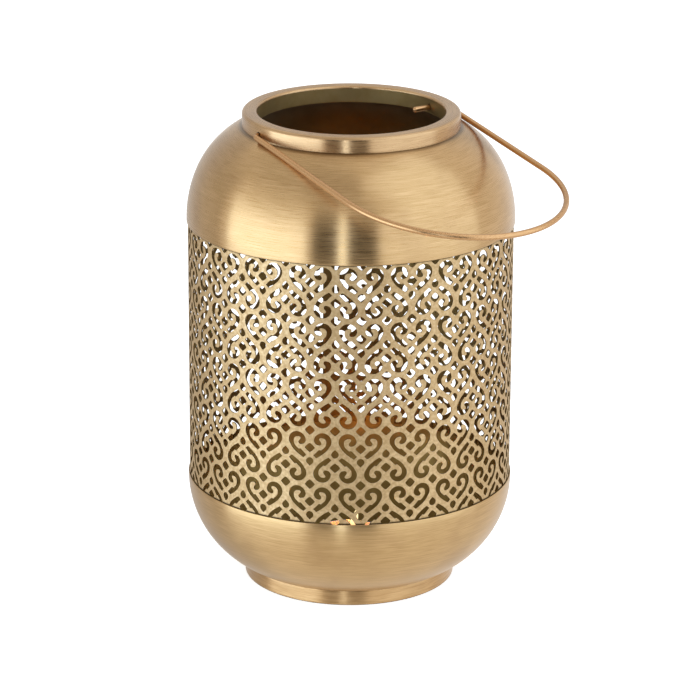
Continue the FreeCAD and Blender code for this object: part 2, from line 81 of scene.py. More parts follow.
RIM_RADIUS = extent("dome_shell")[1][0]
DOME_RIM = extent("dome_shell")[0][2]
BOWL_FLOOR, BOWL_RIM = extent("lower_bowl")[0][2], extent("lower_bowl")[1][2]
SCREEN_RADIUS = extent("pierced_screen")[1][0]
SCREEN_FOOT, SCREEN_HEAD = extent("pierced_screen")[0][2], extent("pierced_screen")[1][2]
COLLAR_RADIUS = extent("collar_ring")[1][0]
COLLAR_FOOT, COLLAR_TOP = extent("collar_ring")[0][2], extent("collar_ring")[1][2]
FOOT_RADIUS, FOOT_HEIGHT = extent("foot_ring")[1][0], extent("foot_ring")[1][2]
DISH_RADIUS = extent("candle_dish")[1][0]
DISH_FLOOR, DISH_LIP = extent("candle_dish")[0][2], extent("candle_dish")[1][2]
CUP_RADIUS = extent("tealight_cup")[1][0]
CUP_FLOOR, CUP_LIP = extent("tealight_cup")[0][2], extent("tealight_cup")[1][2]
WAX_RADIUS = extent("tealight_wax")[1][0]
WAX_FLOOR, WAX_TOP = extent("tealight_wax")[0][2], extent("tealight_wax")[1][2]
WICK_TOP = extent("wick")[1][2]
PLATE_RADIUS = extent("wick_sustainer")[1][0]
PLATE_FLOOR = extent("wick_sustainer")[0][2]

SHELL_WALL = 0.6
DOME_LAND = 0.8  # upright land at the dome's rim
SHOULDER_ARC, SHOULDER_RISE = 62.2, 24.8  # the dome's lower arc, and how far up it goes
CROWN_ARC, MOUTH_RADIUS = 48.06, 54.5  # the dome's upper arc, down to its mouth
BOWL_ARC = 52.4
COLLAR_WALL, COLLAR_BORE = 0.8, 48.75
SKIRT_STEP = 0.5  # the outer skirt stops this much above the inner one
PIVOT_HOLE, PIVOT_HOLE_HEIGHT = 1.9, 247.35
FOOT_WALL = 0.8
DISH_WALL, CUP_WALL = 0.5, 0.3

WIRE_RADIUS = 1.5
BAIL_HALF_WIDTH, BAIL_CORNER = 59.2, 2.5
BAIL_ARM, BAIL_BOW = 86.7, 62.3  # straight arm, and height of the half ellipse beyond it
BAIL_TIP = 38.7  # half the gap between the hooked ends
PIVOT_HEIGHT, BAIL_DROOP = 247.251, 9.369

PIERCING_STRIPS = 41  # half hearts round the screen; the odd number leaves a misfit at the seam
PIERCING_PITCH = 29.28  # height of one repeat
PIERCING_ROW = 77.67  # height of a row of corner diamonds
PIERCING_START = -120.0  # degrees from +X to an axis of upright hearts
STRIP = 2 * math.pi * SCREEN_RADIUS / PIERCING_STRIPS
HEAD_GAP = 0.4  # the sheet stops this much short of its CAD height, out of sight inside the dome
SEAM_HALF_LAP, SEAM_WALL = 3.2, 0.5


# ---------------------------------------------------------------- mesh helpers


def arc(centre, radius, start, end, steps):
    """Points of a circular arc: centre + radius * (cos a, sin a), for a from start to end degrees."""
    a = np.radians(np.linspace(start, end, steps + 1))
    return np.stack([centre[0] + radius * np.cos(a), centre[1] + radius * np.sin(a)], 1)


def line(*points, step=None):
    """Points joined by straight runs, each divided evenly into runs no longer than step."""
    points = np.array(points, float)
    if step is None:
        return points
    lengths = np.linalg.norm(np.diff(points, axis=0), axis=1)
    along = np.concatenate([[0], np.cumsum(lengths)])
    at = np.linspace(0, along[-1], max(2, int(along[-1] / step) + 1))
    at = np.unique(np.concatenate([at, along]))
    return np.stack([np.interp(at, along, points[:, k]) for k in range(2)], 1)


def offset(outline, distance):
    """The outline moved to its left by distance, along the normal of the chord through its neighbours."""
    chord = np.gradient(outline, axis=0)
    chord /= np.linalg.norm(chord, axis=1, keepdims=True)
    return outline + distance * np.stack([-chord[:, 1], chord[:, 0]], 1)


def sheet_section(outline, wall):
    """Closed section of a sheet of that wall: the outline, the same line moved left by the wall, and a
    half circle round each edge."""
    inner = offset(outline, wall)

    def lip(a, b):
        """Half circle from a to b, bulging away from the sheet: middle + half * (cos t, sin t) turned
        into the direction from a to b."""
        middle, half = (a + b) / 2, (a - b) / 2
        t = np.linspace(0, math.pi, 7)[1:-1, None]
        return middle + np.cos(t) * half + np.sin(t) * np.array([-half[1], half[0]])

    section = np.concatenate([outline, lip(outline[-1], inner[-1]), inner[::-1], lip(inner[0], outline[0])])
    return section, len(outline) + 2


def grid_mesh(name, points, close_rows, close_columns):
    """Quads between the neighbours of a rows x columns grid of points, closed on itself where asked."""
    rows, columns = points.shape[:2]
    index = np.arange(rows * columns).reshape(rows, columns)
    if close_rows:
        index = np.concatenate([index, index[:1]])
    if close_columns:
        index = np.concatenate([index, index[:, :1]], axis=1)
    quads = np.stack([index[:-1, :-1], index[:-1, 1:], index[1:, 1:], index[1:, :-1]], 2)
    mesh = bpy.data.meshes.new(name)
    mesh.from_pydata((points.reshape(-1, 3) * MM).tolist(), [], quads.reshape(-1, 4).tolist())
    return mesh


def heal(mesh):
    """Merges doubled points, such as a pole's, and turns every face outwards."""
    edit = bmesh.new()
    edit.from_mesh(mesh)
    bmesh.ops.remove_doubles(edit, verts=edit.verts, dist=1e-7)
    bmesh.ops.dissolve_degenerate(edit, edges=edit.edges, dist=1e-7)
    bmesh.ops.recalc_face_normals(edit, faces=edit.faces)
    edit.to_mesh(mesh)
    edit.free()


def piece(name, mesh, looks, body, slot, *nodes, crease=40):
    """A finished piece: smooth but for creases sharper than so many degrees, riding on its body."""
    made = bpy.data.objects.new(name, mesh)
    bpy.context.scene.collection.objects.link(made)
    for look in looks:
        mesh.materials.append(look)
    mesh.shade_smooth()
    if crease:
        mesh.set_sharp_from_angle(angle=math.radians(crease))
    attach(made, body)
    if nodes:
        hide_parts(*nodes)
    return made


def turned_mesh(name, section, closed=True, inner_from=None):
    """A section turned about Z: point (i, j) is (r_i cos a_j, r_i sin a_j, z_i), with a_j even steps of
    a whole turn. Rows of faces from inner_from on take the second material."""
    a = np.linspace(0, 2 * math.pi, AROUND, endpoint=False)
    r, z = section[:, :1], section[:, 1:]
    points = np.stack([r * np.cos(a), r * np.sin(a), z + 0 * a], 2)
    mesh = grid_mesh(name, points, closed, True)
    if inner_from is not None:
        row = np.arange(len(mesh.polygons)) // AROUND
        mesh.polygons.foreach_set("material_index", (row >= inner_from).astype(np.int32))
    heal(mesh)
    return mesh


def wire_mesh(name, path, radius, sides=20):
    """A round wire along a path: circles of that radius across the path, drawn in to a half ball at
    each end by radius * sqrt(1 - (1 - d / radius)^2), where d is the distance to the end."""
    lengths = np.linalg.norm(np.diff(path, axis=0), axis=1)
    along = np.concatenate([[0], np.cumsum(lengths)])
    t = np.linspace(0, math.pi / 2, 7)[:-1]
    ends = radius * (1 - np.cos(t))
    at = np.unique(np.concatenate([along, ends, along[-1] - ends]))
    at = at[np.concatenate([[True], np.diff(at) > 1e-4])]
    line3 = np.stack([np.interp(at, along, path[:, k]) for k in range(3)], 1)
    ahead = np.gradient(line3, axis=0)
    ahead /= np.linalg.norm(ahead, axis=1, keepdims=True)
    # a plane path has one normal, and the circle lies between that and the path's own side
    flat = np.linalg.svd(path - path.mean(0))[2][2]
    side = np.cross(ahead, flat)
    side /= np.linalg.norm(side, axis=1, keepdims=True)
    to_end = np.minimum(at, at[-1] - at)
    width = radius * np.sqrt(1 - np.clip(1 - to_end / radius, 0, 1) ** 2)
    a = np.linspace(0, 2 * math.pi, sides, endpoint=False)
    ring = np.cos(a)[None, :, None] * side[:, None] + np.sin(a)[None, :, None] * flat
    mesh = grid_mesh(name, line3[:, None] + width[:, None, None] * ring, False, True)
    heal(mesh)
    return mesh


# ---------------------------------------------------------------- materials


def colour(hex_code):
    """Linear RGBA of an sRGB hex colour."""
    c = np.array([int(hex_code[k : k + 2], 16) for k in (1, 3, 5)]) / 255
    c = np.where(c <= 0.04045, c / 12.92, ((c + 0.055) / 1.055) ** 2.4)
    return (*c.tolist(), 1.0)


def node(tree, kind, inputs=None, **settings):
    """Adds a node with its settings, and sets or links its inputs."""
    made = tree.nodes.new(kind)
    for key, value in settings.items():
        setattr(made, key, value)
    for key, value in (inputs or {}).items():
        if isinstance(value, bpy.types.NodeSocket):
            tree.links.new(value, made.inputs[key])
        else:
            made.inputs[key].default_value = value
    return made


def new_look(name):
    """An empty material with its output node."""
    look = bpy.data.materials.new(name)
    look.use_nodes = True
    look.node_tree.nodes.clear()
    return look, look.node_tree, node(look.node_tree, "ShaderNodeOutputMaterial")


def mixed(tree, factor, a, b):
    """Colour a turned into colour b by factor."""
    return node(tree, "ShaderNodeMix", {0: factor, 6: a, 7: b}, data_type="RGBA").outputs[2]


def lathe_marks(tree, slope, streak, length):
    """Noise drawn out round the axis, as a scouring pad leaves it on turning work. The streaks are
    streak mm apart up the surface and about length mm long. slope adds that share of the radius to the
    height, so that they stay fine where the surface lies flat. Gives the noise and the radius in mm."""
    place = node(tree, "ShaderNodeTexCoord").outputs["Object"]
    apart = node(tree, "ShaderNodeSeparateXYZ", {0: place})
    flat = node(tree, "ShaderNodeCombineXYZ", {0: apart.outputs[0], 1: apart.outputs[1]})
    radius = node(tree, "ShaderNodeVectorMath", {0: flat.outputs[0]}, operation="LENGTH").outputs["Value"]
    slid = node(tree, "ShaderNodeMath", {0: radius, 1: slope, 2: apart.outputs[2]}, operation="MULTIPLY_ADD")
    laid = node(tree, "ShaderNodeCombineXYZ", {0: apart.outputs[0], 1: apart.outputs[1], 2: slid.outputs[0]})
    scale = (1 / (length * MM), 1 / (length * MM), 1 / (streak * MM))
    drawn = node(tree, "ShaderNodeVectorMath", {0: laid.outputs[0], 1: scale}, operation="MULTIPLY")
    noise = node(tree, "ShaderNodeTexNoise", {"Vector": drawn.outputs[0], "Scale": 1.0, "Detail": 3.0})
    radius_mm = node(tree, "ShaderNodeMath", {0: radius, 1: 1 / MM}, operation="MULTIPLY").outputs[0]
    return noise.outputs["Fac"], radius_mm


def cloud(tree, size, detail=3.0):
    """Soft blotches about size mm across."""
    place = node(tree, "ShaderNodeTexCoord").outputs["Object"]
    inputs = {"Vector": place, "Scale": 1 / (size * MM), "Detail": detail}
    return node(tree, "ShaderNodeTexNoise", inputs).outputs["Fac"]


def ramp(tree, value, low, high, to_low=0.0, to_high=1.0):
    """value from low..high to to_low..to_high, smoothly and held at the ends."""
    inputs = {"Value": value, "From Min": low, "From Max": high, "To Min": to_low, "To Max": to_high}
    return node(tree, "ShaderNodeMapRange", inputs, interpolation_type="SMOOTHSTEP").outputs[0]


# the second and third colours are painted shade, for the corners where one part meets the next; the first is
# the metal's own stain
STAIN, CREVICE_SHADE, LAP_SHADE = "#94704A", "#3E2C14", "#2E2010"
DOME_CREVICE = (56.6, 59.5)  # ring of painted shade beside the collar's skirt, from radius to radius
BOWL_CREVICE = (55.8, 58.0)  # the same beside the foot


def brushed_brass(name, slope, light, dark, rough, grip=0.85, streak=0.4, crevice=None, bump=0.12):
    """Antique brass sheet, turned and scoured round its axis, then lacquered.

    The scouring runs round the axis, so the reflections are drawn out up and down the surface, and
    thin darker and lighter lines of old patina stay in it. crevice is a ring, from one radius to
    another in mm, of painted shade: darker towards the next part, where shade falls in the corner.
    """
    look, tree, out = new_look(name)
    fine, radius = lathe_marks(tree, slope, streak, 12)
    broad, _ = lathe_marks(tree, slope, 4.0, 40)
    shade = mixed(tree, ramp(tree, fine, 0.3, 0.7), colour(dark), colour(light))
    shade = mixed(tree, ramp(tree, broad, 0.35, 0.7, 0.0, 0.35), shade, colour(dark))
    stain = ramp(tree, cloud(tree, 28), 0.45, 0.72, 0.0, 0.25)
    shade = mixed(tree, stain, shade, colour(STAIN))
    # painted shade: the ring darkens towards the next part, in the corner where shade falls
    if crevice:
        near = ramp(tree, radius, crevice[0], crevice[1], 0.75, 0.0)
        shade = mixed(tree, near, shade, colour(CREVICE_SHADE))
    grain = ramp(tree, fine, 0.2, 0.8, rough - 0.03, rough + 0.04)
    raised = node(tree, "ShaderNodeBump", {"Height": fine, "Strength": bump, "Distance": 0.04 * MM})
    round_axis = node(tree, "ShaderNodeTangent", direction_type="RADIAL", axis="Z")
    inputs = {
        "Base Color": shade, "Metallic": 1.0, "Roughness": grain, "Anisotropic": grip,
        "Anisotropic Rotation": 0.25, "Tangent": round_axis.outputs[0], "Normal": raised.outputs[0],
        "Coat Weight": 0.15, "Coat Roughness": 0.25,
    }
    shader = node(tree, "ShaderNodeBsdfPrincipled", inputs)
    tree.links.new(shader.outputs[0], out.inputs[0])
    return look


def matt_brass(name, light, dark, rough, spot=2.5, bump=0.3, lap=None):
    """Antique brass left matt by its etch or its patina: fine blotches and no grain. lap is two heights
    in mm, at which another sheet laps over this one, and painted shade darkens it for a millimetre."""
    look, tree, out = new_look(name)
    fine, wide = cloud(tree, spot, 5.0), cloud(tree, 16)
    shade = mixed(tree, ramp(tree, fine, 0.35, 0.68), colour(dark), colour(light))
    shade = mixed(tree, ramp(tree, wide, 0.45, 0.7, 0.0, 0.35), shade, colour(dark))
    # painted shade: a dark band for a millimetre beside each lapping rim, where shade falls
    if lap:
        middle, half = (lap[1] + lap[0]) / 2 * MM, (lap[1] - lap[0]) / 2 * MM
        place = node(tree, "ShaderNodeTexCoord").outputs["Object"]
        height = node(tree, "ShaderNodeSeparateXYZ", {0: place}).outputs[2]
        up = node(tree, "ShaderNodeMath", {0: height, 1: middle}, operation="SUBTRACT").outputs[0]
        away = node(tree, "ShaderNodeMath", {0: up}, operation="ABSOLUTE").outputs[0]
        near = ramp(tree, away, half - 1.1 * MM, half - 0.1 * MM, 0.0, 0.9)
        shade = mixed(tree, near, shade, colour(LAP_SHADE))
    grain = ramp(tree, fine, 0.25, 0.75, rough + 0.06, rough - 0.05)
    raised = node(tree, "ShaderNodeBump", {"Height": fine, "Strength": bump, "Distance": 0.05 * MM})
    inputs = {
        "Base Color": shade, "Metallic": 1.0, "Roughness": grain, "Normal": raised.outputs[0],
    }
    shader = node(tree, "ShaderNodeBsdfPrincipled", inputs)
    tree.links.new(shader.outputs[0], out.inputs[0])
    return look


def candle_wax():
    """Pressed paraffin wax: white, slightly clear, with a satin top."""
    look, tree, out = new_look("pressed_paraffin_wax")
    shade = mixed(tree, ramp(tree, cloud(tree, 3), 0.3, 0.7), colour("#F2EBDC"), colour("#FBF7EE"))
    inputs = {
        "Base Color": shade, "Roughness": ramp(tree, cloud(tree, 1.5), 0.3, 0.7, 0.32, 0.45), "IOR": 1.44,
        "Subsurface Weight": 0.4, "Subsurface Radius": (1.0, 0.7, 0.45), "Subsurface Scale": 2 * MM,
    }
    shader = node(tree, "ShaderNodeBsdfPrincipled", inputs)
    tree.links.new(shader.outputs[0], out.inputs[0])
    return look


def braided_cotton():
    """Braided cotton wick: cream with crossing threads, charred black at its tip."""
    look, tree, out = new_look("braided_cotton")
    place = node(tree, "ShaderNodeTexCoord").outputs["Object"]
    height = node(tree, "ShaderNodeSeparateXYZ", {0: place}).outputs[2]
    weave = node(
        tree, "ShaderNodeTexWave", {"Vector": place, "Scale": 0.25 / MM, "Distortion": 2.0},
        wave_type="BANDS", bands_direction="DIAGONAL",
    ).outputs["Fac"]
    shade = mixed(tree, weave, colour("#B9A98A"), colour("#E9DFC8"))
    char = ramp(tree, height, (WICK_TOP - 5) * MM, (WICK_TOP - 2.5) * MM)
    shade = mixed(tree, char, shade, colour("#1A1410"))
    raised = node(tree, "ShaderNodeBump", {"Height": weave, "Strength": 0.5, "Distance": 0.1 * MM})
    inputs = {"Base Color": shade, "Roughness": 0.9, "Normal": raised.outputs[0]}
    shader = node(tree, "ShaderNodeBsdfPrincipled", inputs)
    tree.links.new(shader.outputs[0], out.inputs[0])
    return look


def rolled_metal(name, light, dark, rough):
    """Thin rolled foil or plate: bright, with short rolling lines along X."""
    look, tree, out = new_look(name)
    place = node(tree, "ShaderNodeTexCoord").outputs["Object"]
    scale = (1 / (12 * MM), 1 / (0.25 * MM), 1 / (0.25 * MM))
    drawn = node(tree, "ShaderNodeVectorMath", {0: place, 1: scale}, operation="MULTIPLY").outputs[0]
    lines = node(tree, "ShaderNodeTexNoise", {"Vector": drawn, "Scale": 1.0}).outputs["Fac"]
    shade = mixed(tree, ramp(tree, lines, 0.3, 0.7), colour(dark), colour(light))
    grain = ramp(tree, lines, 0.2, 0.8, rough, rough + 0.1)
    inputs = {"Base Color": shade, "Metallic": 1.0, "Roughness": grain}
    shader = node(tree, "ShaderNodeBsdfPrincipled", inputs)
    tree.links.new(shader.outputs[0], out.inputs[0])
    return look


def flame_glow(base, tip):
    """Candle flame: glowing soot, dim and orange at its root and yellow white above."""
    look, tree, out = new_look("candle_flame")
    place = node(tree, "ShaderNodeTexCoord").outputs["Object"]
    height = node(tree, "ShaderNodeSeparateXYZ", {0: place}).outputs[2]
    up = ramp(tree, height, base * MM, (base + 0.6 * (tip - base)) * MM)
    shade = mixed(tree, up, colour("#FF7A1E"), colour("#FFE6A8"))
    glow = node(tree, "ShaderNodeEmission", {"Color": shade, "Strength": 1.7})
    tree.links.new(glow.outputs[0], out.inputs[0])
    return look


DOME_BRASS = brushed_brass("scoured_brass_dome", -1.0, "#CDA878", "#B59160", 0.28, crevice=DOME_CREVICE)
BOWL_BRASS = brushed_brass("scoured_brass_bowl", 1.0, "#CFAA78", "#B99664", 0.31, crevice=BOWL_CREVICE)
COLLAR_BRASS = brushed_brass("scoured_brass_collar", -1.0, "#CDA87A", "#B9956A", 0.28, streak=0.5)
FOOT_BRASS = brushed_brass("scoured_brass_foot", 1.0, "#CDA674", "#B08858", 0.33, streak=0.5)
SCREEN_BRASS = matt_brass("etched_brass_sheet", "#CDB084", "#BA9B6E", 0.52, 1.6, 0.2, (BOWL_RIM, DOME_RIM))
# The inside faces are one unpolished brass, duller than the outside, with painted shade in their colours:
# darkest inside the dome and the foot, lighter on the collar's inner skirt and the sheet, lightest in the
# bowl, by how much light reaches each
SHADED_INSIDE_BRASS = matt_brass("unpolished_inner_brass_painted_shade", "#665232", "#5A4628", 0.45, spot=22, bump=0.05)
SHADED_COLLAR_INSIDE = matt_brass("unpolished_collar_brass_painted_shade", "#9A8458", "#8C754A", 0.5, spot=12, bump=0.05)
SHADED_BOWL_INSIDE = matt_brass("unpolished_bowl_brass_painted_shade", "#A88E54", "#977E48", 0.5, spot=14, bump=0.05)
SHADED_SCREEN_INSIDE = matt_brass("unpolished_sheet_brass_painted_shade", "#80683C", "#725A32", 0.5, spot=6, bump=0.08)
WIRE_BRASS = rolled_metal("drawn_brass_wire", "#D0A474", "#B88C5E", 0.24)
DISH_BRASS = matt_brass("pressed_brass", "#8A6E42", "#6A5230", 0.45, spot=5)
ALUMINIUM = rolled_metal("deep_drawn_aluminium", "#E2E2E2", "#C2C4C6", 0.25)
TINPLATE = rolled_metal("tinned_steel", "#C9CACB", "#9A9C9E", 0.3)
WAX = candle_wax()
COTTON = braided_cotton()


# ---------------------------------------------------------------- spun shells


def make_dome():
    """Spun dome: an upright land, the shoulder's arc, then the crown's smaller arc in to the mouth."""
    shoulder_centre = (RIM_RADIUS - SHOULDER_ARC, DOME_RIM + DOME_LAND)
    turn = math.degrees(math.asin(SHOULDER_RISE / SHOULDER_ARC))
    shoulder = arc(shoulder_centre, SHOULDER_ARC, 0, turn, 14)
    inward = np.array([math.cos(math.radians(turn)), math.sin(math.radians(turn))])
    crown_centre = shoulder[-1] - CROWN_ARC * inward
    stop = math.degrees(math.acos((MOUTH_RADIUS - crown_centre[0]) / CROWN_ARC))
    crown = arc(crown_centre, CROWN_ARC, turn, stop, 22)
    outline = np.concatenate([[(RIM_RADIUS, DOME_RIM)], shoulder, crown[1:]])
    section, inner = sheet_section(outline, SHELL_WALL)
    mesh = turned_mesh("dome", section, inner_from=inner)
    piece("spun_dome", mesh, [DOME_BRASS, SHADED_INSIDE_BRASS], "lantern", "spun_brass", "dome_shell")


def make_bowl():
    """Spun bowl: one arc from the upright rim in to the flat floor, which closes on the axis."""
    centre = (RIM_RADIUS - BOWL_ARC, BOWL_FLOOR + BOWL_ARC)
    outside = arc(centre, BOWL_ARC, 0, -90, 34)
    inside = arc(centre, BOWL_ARC - SHELL_WALL, -90, 0, 34)
    half = SHELL_WALL / 2
    lip = arc((RIM_RADIUS - half, BOWL_RIM - half), half, 180, 0, 6)
    floor_out = line((centre[0] - 4, BOWL_FLOOR), (0, BOWL_FLOOR), step=5)
    floor_in = line((0, BOWL_FLOOR + SHELL_WALL), (centre[0] - 4, BOWL_FLOOR + SHELL_WALL), step=5)
    section = np.concatenate([lip[3:], outside[1:], floor_out, floor_in, inside, lip[:3]])
    inner = len(lip) - 3 + len(outside) - 1 + len(floor_out)
    mesh = turned_mesh("bowl", section, inner_from=inner)
    piece("spun_bowl", mesh, [BOWL_BRASS, SHADED_BOWL_INSIDE], "lantern", "spun_brass", "lower_bowl")


def cut_round_holes(mesh, radius, height, reach):
    """The mesh with a hole of that radius drilled along the whole X axis at that height."""
    a = np.linspace(0, 2 * math.pi, 32, endpoint=False)
    x = np.array([-reach, -reach, reach, reach])[:, None]
    r = np.array([0, radius, radius, 0])[:, None]
    rod = np.stack([x + 0 * a, r * np.cos(a), height + r * np.sin(a)], 2)
    drill_mesh = grid_mesh("drill", rod, False, True)
    heal(drill_mesh)
    drill = bpy.data.objects.new("drill", drill_mesh)
    blank = bpy.data.objects.new("blank", mesh)
    for made in (drill, blank):
        bpy.context.scene.collection.objects.link(made)
    cut = blank.modifiers.new("hole", "BOOLEAN")
    cut.operation = "DIFFERENCE"
    cut.solver = "EXACT"
    cut.object = drill
    bpy.context.view_layer.update()
    drilled = bpy.data.meshes.new_from_object(blank.evaluated_get(bpy.context.evaluated_depsgraph_get()))
    for made in (drill, blank):
        bpy.data.objects.remove(made)
    return drilled


def make_collar():
    """Collar: an inverted channel with rounded shoulders, drilled for the bail's hooks.

    Its section goes up the outer skirt, over the top and down the inner skirt, which hangs inside the
    dome's mouth.
    """
    outer_round, inner_round = 1.8, 1.2
    seat = COLLAR_FOOT + SKIRT_STEP
    top = arc((COLLAR_RADIUS - outer_round, COLLAR_TOP - outer_round), outer_round, 0, 90, 7)
    bore = arc((COLLAR_BORE + inner_round, COLLAR_TOP - inner_round), inner_round, 90, 180, 6)
    outer_skirt = line((COLLAR_RADIUS, seat), (COLLAR_RADIUS, COLLAR_TOP - outer_round - 0.1), step=1.2)
    inner_skirt = line((COLLAR_BORE, COLLAR_TOP - inner_round - 0.1), (COLLAR_BORE, COLLAR_FOOT), step=1.2)
    outline = np.concatenate([outer_skirt, top, bore, inner_skirt])
    section, _ = sheet_section(outline, COLLAR_WALL)
    mesh = turned_mesh("collar", section, inner_from=len(outline) - len(inner_skirt))
    for look in (COLLAR_BRASS, SHADED_COLLAR_INSIDE):
        mesh.materials.append(look)
    # the drilled mesh keeps both materials, so the piece is given none
    mesh = cut_round_holes(mesh, PIVOT_HOLE, PIVOT_HOLE_HEIGHT, COLLAR_RADIUS + 5)
    piece("collar", mesh, [], "lantern", "collar_brass", "collar_ring", crease=35)


def make_foot():
    """Foot: a rolled strip on edge, with both edges rounded."""
    outline = line((FOOT_RADIUS, 0.4), (FOOT_RADIUS, FOOT_HEIGHT), step=1)
    section, inner = sheet_section(outline, FOOT_WALL)
    mesh = turned_mesh("foot", section, inner_from=inner)
    piece("foot_strip", mesh, [FOOT_BRASS, SHADED_INSIDE_BRASS], "lantern", "foot_brass", "foot_ring")


# ---------------------------------------------------------------- pierced screen


def rounded_diamond(centre, across, down, power=1.25):
    """|x / across|^power + |y / down|^power = 1, whose corners are slightly soft."""
    a = np.linspace(0, 2 * math.pi, 16, endpoint=False)
    c, s = np.cos(a), np.sin(a)
    x = across * np.sign(c) * np.abs(c) ** (2 / power)
    y = down * np.sign(s) * np.abs(s) ** (2 / power)
    return np.stack([centre[0] + x, centre[1] + y], 1)


def teardrop(centre, radius, point):
    """A round head and two straight sides down to a point so far below its middle."""
    tangent = math.degrees(math.asin(radius / point))
    head = arc(centre, radius, tangent, -180 - tangent, 12)
    return np.concatenate([head, [(centre[0], centre[1] + point)]])


def scroll():
    """The scroll-shaped hole: a straight slot that curls into a hook.

    Its outer edge runs from the slot's end along the straight and round the hook, and its inner edge
    comes back round the curled tongue of metal. Across and down from the strip's upper corner, in mm.
    """
    slot_end = [(1.85, 13.5), (2.05, 13.8), (3.15, 14.85), (3.5, 14.95)]
    outer_straight = [(5.2, 13.9), (7.0, 12.5), (8.4, 11.3), (9.45, 10.05)]
    hook = arc((6.65, 5.85), 4.57, 40, -180, 17)
    hook_end = arc((4.5, 5.7), 2.35, 172, 120, 2)
    cap = arc((4.9, 6.9), 1.15, 100, -10, 4)
    hollow = [(5.7, 6.0), (5.2, 5.5)]
    tip = arc((5.6, 4.7), 0.7, 150, 262, 3)
    tongue = arc((6.3, 6.2), 2.22, -92, 12, 6)
    neck = [(8.4, 7.5), (8.0, 8.5), (7.2, 9.4), (6.3, 10.2), (6.0, 10.65)]
    bump = [(5.65, 10.6), (5.2, 10.4), (4.7, 10.5)]
    return np.concatenate([slot_end, outer_straight, hook, hook_end, cap, hollow, tip, tongue, neck, bump])


def strip_holes():
    """Every hole of one strip of the screen, over all its repeats, as (across, height) outlines in mm.

    A strip goes from an axis of upright hearts to an axis of inverted ones, and turning it by half a
    turn about its middle gives the same strip.
    """
    middle = np.array([STRIP / 2, PIERCING_PITCH / 2])
    half = [scroll(), rounded_diamond((0, 9.45), 2.65, 2.5), teardrop((0, 16.65), 1.95, 2.65)]
    repeat = half + [2 * middle - hole for hole in half]
    repeat += [rounded_diamond((across, 0), 2.6, 2.55) for across in (0, STRIP)]
    rows = np.arange(math.ceil((SCREEN_HEAD - PIERCING_ROW) / PIERCING_PITCH) + 1)
    tops = PIERCING_ROW + PIERCING_PITCH * rows
    return [np.stack([hole[:, 0], top - hole[:, 1]], 1) for top in tops for hole in repeat]


def pierced_strip(low, high):
    """Triangles of the metal of one strip: a rectangle from low to high, less its holes."""
    frame_line = np.array([(0, low), (STRIP, low), (STRIP, high), (0, high)], float)
    loops = [frame_line]
    for hole in strip_holes():
        if hole[:, 1].max() > low and hole[:, 1].min() < high:
            x, y = hole.T
            area = np.sum(x * np.roll(y, -1) - np.roll(x, -1) * y)
            loops.append(hole if area > 0 else hole[::-1])
    starts = np.cumsum([0] + [len(loop) for loop in loops])
    points = [Vector(p) for p in np.concatenate(loops).tolist()]
    faces = [list(range(a, b)) for a, b in zip(starts[:-1], starts[1:])]
    made = delaunay_2d_cdt(points, [], faces, 1, 1e-5)
    metal = [face for face, source in zip(made[2], made[5]) if source == [0]]
    return np.array(made[0]), np.array(metal)


def make_screen():
    """Pierced screen: the strip and its mirror image in turn, wrapped round a cylinder.

    A point goes to angle start + across / radius and keeps its height. The sheet has an outer and an
    inner face, a wall under every free edge, and radial normals on both faces.
    """
    low, high = SCREEN_FOOT, SCREEN_HEAD - HEAD_GAP
    flat, metal = pierced_strip(low, high)
    number = np.arange(PIERCING_STRIPS) - PIERCING_STRIPS // 2
    mirrored = (number % 2 == 1)[:, None]
    start = number[:, None] * STRIP
    across = np.where(mirrored, start + STRIP - flat[:, 0], start + flat[:, 0])
    points = np.stack([across, np.broadcast_to(flat[:, 1], across.shape)], 2).reshape(-1, 2)
    faces = metal[None] + (np.arange(PIERCING_STRIPS) * len(flat))[:, None, None]
    faces = np.where(mirrored[:, :, None], faces[:, :, ::-1], faces).reshape(-1, 3)
    # neighbours share the points of their common edge, and unused points go
    keys, first, same = np.unique(np.round(points, 4), axis=0, return_index=True, return_inverse=True)
    faces = same.reshape(-1)[faces]
    used, faces = np.unique(faces, return_inverse=True)
    faces = faces.reshape(-1, 3)
    points = points[first][used]
    edges = np.concatenate([faces[:, [0, 1]], faces[:, [1, 2]], faces[:, [2, 0]]])
    size = len(points)
    free = ~np.isin(edges[:, 0] * size + edges[:, 1], edges[:, 1] * size + edges[:, 0])
    rim = edges[free]
    angle = math.radians(PIERCING_START) + points[:, 0] / SCREEN_RADIUS
    radial = np.stack([np.cos(angle), np.sin(angle), 0 * angle], 1)
    height = np.stack([0 * angle, 0 * angle, points[:, 1]], 1)
    outer = radial * SCREEN_RADIUS + height
    inner = radial * (SCREEN_RADIUS - SHELL_WALL) + height
    walls = np.concatenate([rim[:, [1, 0]], rim + size], 1)
    solid = np.concatenate([outer, inner]) * MM
    mesh = bpy.data.meshes.new("screen")
    mesh.from_pydata(solid.tolist(), [], faces.tolist() + (faces[:, ::-1] + size).tolist() + walls.tolist())
    index = np.repeat([0, 1], [len(faces), len(faces) + len(walls)])
    mesh.polygons.foreach_set("material_index", index.astype(np.int32))
    piece(
        "scroll_screen", mesh, [SCREEN_BRASS, SHADED_SCREEN_INSIDE], "lantern", "screen_brass",
        "pierced_screen", crease=None,
    )
    span = solid[walls[:, 1]] - solid[walls[:, 0]]
    across_wall = np.cross(span, solid[walls[:, 2]] - solid[walls[:, 1]])
    across_wall /= np.linalg.norm(across_wall, axis=1, keepdims=True)
    normals = np.concatenate([
        radial[faces.reshape(-1)], -radial[faces[:, ::-1].reshape(-1)], np.repeat(across_wall, 4, 0),
    ])
    mesh.normals_split_custom_set(normals.tolist())


